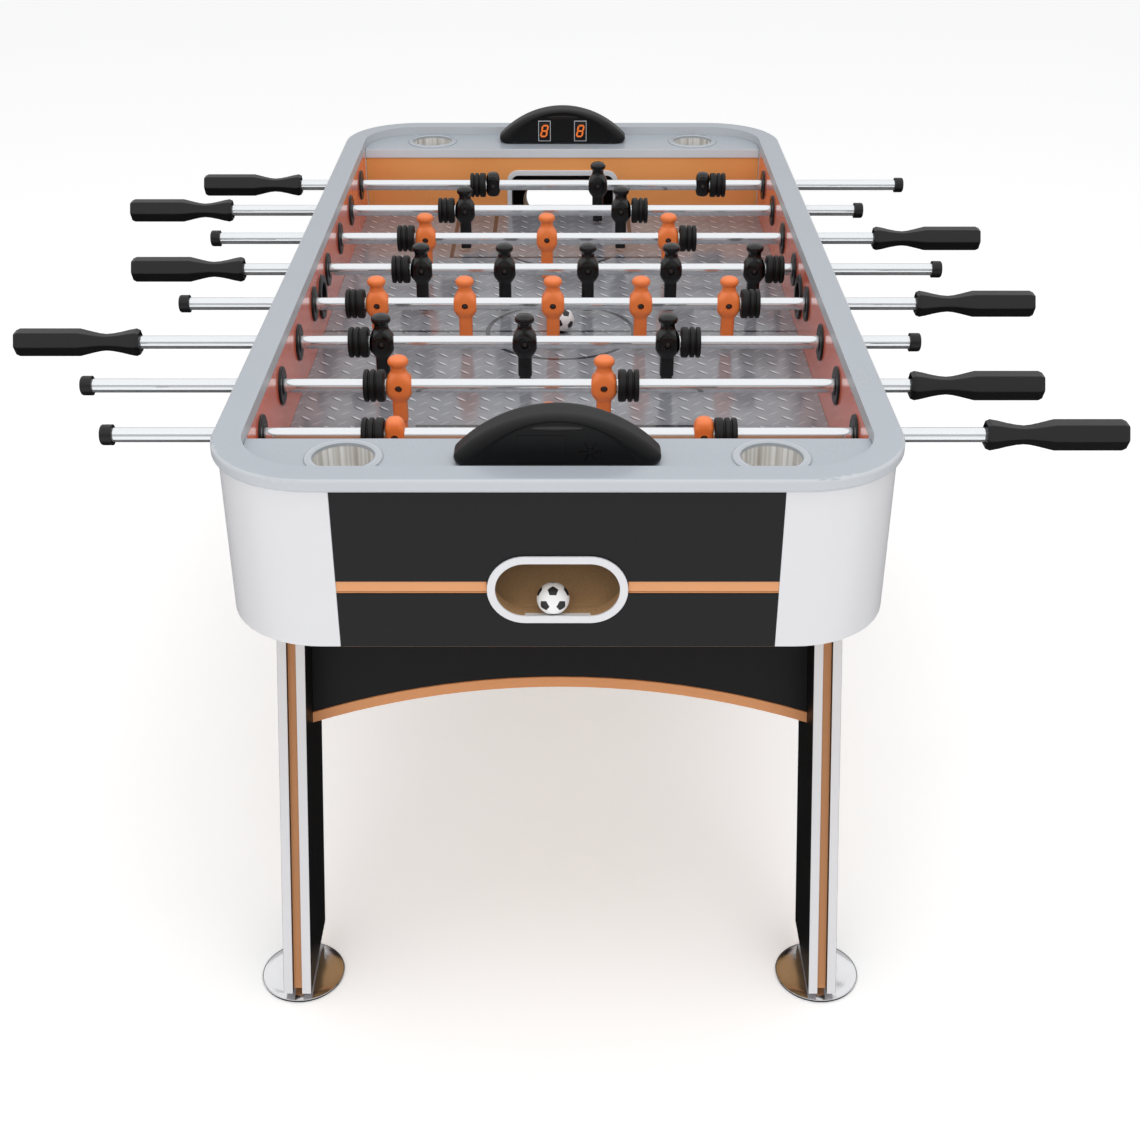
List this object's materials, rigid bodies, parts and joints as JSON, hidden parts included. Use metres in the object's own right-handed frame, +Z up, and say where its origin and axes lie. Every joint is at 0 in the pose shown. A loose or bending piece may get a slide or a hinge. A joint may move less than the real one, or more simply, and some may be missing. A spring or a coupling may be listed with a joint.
{
  "type": "foosball table",
  "caption": "Free-standing foosball table: round-cornered cabinet on leaning sandwich legs, with sliding and spinning player rods, goals, ball returns, score units and cup holders.",
  "frame": {"origin": "on the floor, under the middle of the whole outline with the rods in their stored positions", "axes": "+Z up, +X along the rods towards the orange team's grips, +Y along the table from the front end to the back end"},
  "size_m": [1.387, 1.452, 0.8464],
  "materials": {
    "silver_rail": "satin silver-grey",
    "silver_deck": "satin silver-grey laminate",
    "black_panel": "satin black laminate",
    "white_cover": "smooth white",
    "orange_stripe": "satin light orange",
    "printed_field": "glossy grey print",
    "orange_wall": "glossy orange laminate",
    "silver_frame": "satin silver",
    "raw_board": "raw board",
    "white_tray": "glossy white",
    "chrome_cup": "polished",
    "black_plastic": "satin black",
    "digit_display": "dark with orange digits",
    "white_leg": "white edge, black faces",
    "orange_core": "satin light orange",
    "chrome_foot": "polished",
    "chrome_rod": "polished",
    "black_player": "glossy black",
    "orange_player": "satin orange",
    "grip": "satin black",
    "bumper_rubber": "matt black",
    "ball": "white with black patches"
  },
  "bodies": {
    "cabinet": {"top_rail": "silver_rail", "end_decks": "silver_deck", "side_panels": "black_panel", "end_panels": "black_panel", "corner_covers": "white_cover", "stripe_inlays": "orange_stripe", "playfield": "printed_field", "goal_walls": "orange_wall", "goal_frames": "silver_frame", "return_boxes": "raw_board", "ball_trays": "white_tray", "return_frames": "white_cover", "base_board": "raw_board", "cup_holders": "chrome_cup", "score_housings": "black_plastic", "score_displays": "digit_display", "rod_bearings": "black_plastic", "serve_rings": "black_plastic", "leg_boards": "white_leg", "leg_cores": "orange_core", "aprons": "black_panel", "apron_trims": "orange_stripe"},
    "carriage_black_goal": {"bumpers_black_goal": "bumper_rubber"},
    "spindle_black_goal": {"rod_black_goal": "chrome_rod", "players_black_goal": "black_player", "grip_and_cap_black_goal": "grip"},
    "carriage_black_defence": {"bumpers_black_defence": "bumper_rubber"},
    "spindle_black_defence": {"rod_black_defence": "chrome_rod", "players_black_defence": "black_player", "grip_and_cap_black_defence": "grip"},
    "carriage_orange_attack": {"bumpers_orange_attack": "bumper_rubber"},
    "spindle_orange_attack": {"rod_orange_attack": "chrome_rod", "players_orange_attack": "orange_player", "grip_and_cap_orange_attack": "grip"},
    "carriage_black_midfield": {"bumpers_black_midfield": "bumper_rubber"},
    "spindle_black_midfield": {"rod_black_midfield": "chrome_rod", "players_black_midfield": "black_player", "grip_and_cap_black_midfield": "grip"},
    "carriage_orange_midfield": {"bumpers_orange_midfield": "bumper_rubber"},
    "spindle_orange_midfield": {"rod_orange_midfield": "chrome_rod", "players_orange_midfield": "orange_player", "grip_and_cap_orange_midfield": "grip"},
    "carriage_black_attack": {"bumpers_black_attack": "bumper_rubber"},
    "spindle_black_attack": {"rod_black_attack": "chrome_rod", "players_black_attack": "black_player", "grip_and_cap_black_attack": "grip"},
    "carriage_orange_defence": {"bumpers_orange_defence": "bumper_rubber"},
    "spindle_orange_defence": {"rod_orange_defence": "chrome_rod", "players_orange_defence": "orange_player", "grip_and_cap_orange_defence": "grip"},
    "carriage_orange_goal": {"bumpers_orange_goal": "bumper_rubber"},
    "spindle_orange_goal": {"rod_orange_goal": "chrome_rod", "players_orange_goal": "orange_player", "grip_and_cap_orange_goal": "grip"},
    "front_left_foot": {"foot_front_left": "chrome_foot"},
    "front_right_foot": {"foot_front_right": "chrome_foot"},
    "back_left_foot": {"foot_back_left": "chrome_foot"},
    "back_right_foot": {"foot_back_right": "chrome_foot"},
    "ball_in_play": {"game_ball": "ball"},
    "ball_in_return": {"return_ball": "ball"}
  },
  "joints": [
    {"name": "push_black_goal", "type": "slide", "parent": "cabinet", "child": "carriage_black_goal", "axis": [1, 0, 0], "range_m": [-0.18425, 0.06145]},
    {"name": "spin_black_goal", "type": "hinge", "parent": "carriage_black_goal", "child": "spindle_black_goal", "pos_m": [0.08995, 0.5054, 0.7484], "axis": [1, 0, 0], "continuous": true},
    {"name": "push_black_defence", "type": "slide", "parent": "cabinet", "child": "carriage_black_defence", "axis": [1, 0, 0], "range_m": [-0.1011, 0.1627]},
    {"name": "spin_black_defence", "type": "hinge", "parent": "carriage_black_defence", "child": "spindle_black_defence", "pos_m": [-0.00225, 0.361, 0.7484], "axis": [1, 0, 0], "continuous": true},
    {"name": "push_orange_attack", "type": "slide", "parent": "cabinet", "child": "carriage_orange_attack", "axis": [1, 0, 0], "range_m": [-0.08605, 0.13125]},
    {"name": "spin_orange_attack", "type": "hinge", "parent": "carriage_orange_attack", "child": "spindle_orange_attack", "pos_m": [0.00595, 0.2166, 0.7484], "axis": [1, 0, 0], "continuous": true},
    {"name": "push_black_midfield", "type": "slide", "parent": "cabinet", "child": "carriage_black_midfield", "axis": [1, 0, 0], "range_m": [-0.09135, 0.01135]},
    {"name": "spin_black_midfield", "type": "hinge", "parent": "carriage_black_midfield", "child": "spindle_black_midfield", "pos_m": [0.06855, 0.0722, 0.7484], "axis": [1, 0, 0], "continuous": true},
    {"name": "push_orange_midfield", "type": "slide", "parent": "cabinet", "child": "carriage_orange_midfield", "axis": [1, 0, 0], "range_m": [-0.04085, 0.06185]},
    {"name": "spin_orange_midfield", "type": "hinge", "parent": "carriage_orange_midfield", "child": "spindle_orange_midfield", "pos_m": [0.01805, -0.0722, 0.7484], "axis": [1, 0, 0], "continuous": true},
    {"name": "push_black_attack", "type": "slide", "parent": "cabinet", "child": "carriage_black_attack", "axis": [1, 0, 0], "range_m": [-0.06205, 0.15525]},
    {"name": "spin_black_attack", "type": "hinge", "parent": "carriage_black_attack", "child": "spindle_black_attack", "pos_m": [-0.01805, -0.2166, 0.7484], "axis": [1, 0, 0], "continuous": true},
    {"name": "push_orange_defence", "type": "slide", "parent": "cabinet", "child": "carriage_orange_defence", "axis": [1, 0, 0], "range_m": [-0.0599, 0.2039]},
    {"name": "spin_orange_defence", "type": "hinge", "parent": "carriage_orange_defence", "child": "spindle_orange_defence", "pos_m": [-0.04345, -0.361, 0.7484], "axis": [1, 0, 0], "continuous": true},
    {"name": "push_orange_goal", "type": "slide", "parent": "cabinet", "child": "carriage_orange_goal", "axis": [1, 0, 0], "range_m": [-0.11225, 0.13345]},
    {"name": "spin_orange_goal", "type": "hinge", "parent": "carriage_orange_goal", "child": "spindle_orange_goal", "pos_m": [0.01795, -0.5054, 0.7484], "axis": [1, 0, 0], "continuous": true},
    {"name": "level_front_left", "type": "slide", "parent": "cabinet", "child": "front_left_foot", "axis": [0, 0, 1], "range_m": [-0.01, 0]},
    {"name": "level_front_right", "type": "slide", "parent": "cabinet", "child": "front_right_foot", "axis": [0, 0, 1], "range_m": [-0.01, 0]},
    {"name": "level_back_left", "type": "slide", "parent": "cabinet", "child": "back_left_foot", "axis": [0, 0, 1], "range_m": [-0.01, 0]},
    {"name": "level_back_right", "type": "slide", "parent": "cabinet", "child": "back_right_foot", "axis": [0, 0, 1], "range_m": [-0.01, 0]},
    {"name": "roll_game_ball", "type": "slide", "parent": "cabinet", "child": "ball_in_play", "axis": [1, 0, 0], "range_m": [-0.3215, 0.3185]},
    {"name": "roll_return_ball", "type": "slide", "parent": "cabinet", "child": "ball_in_return", "axis": [1, 0, 0], "range_m": [-0.027, 0.037]}
  ]
}
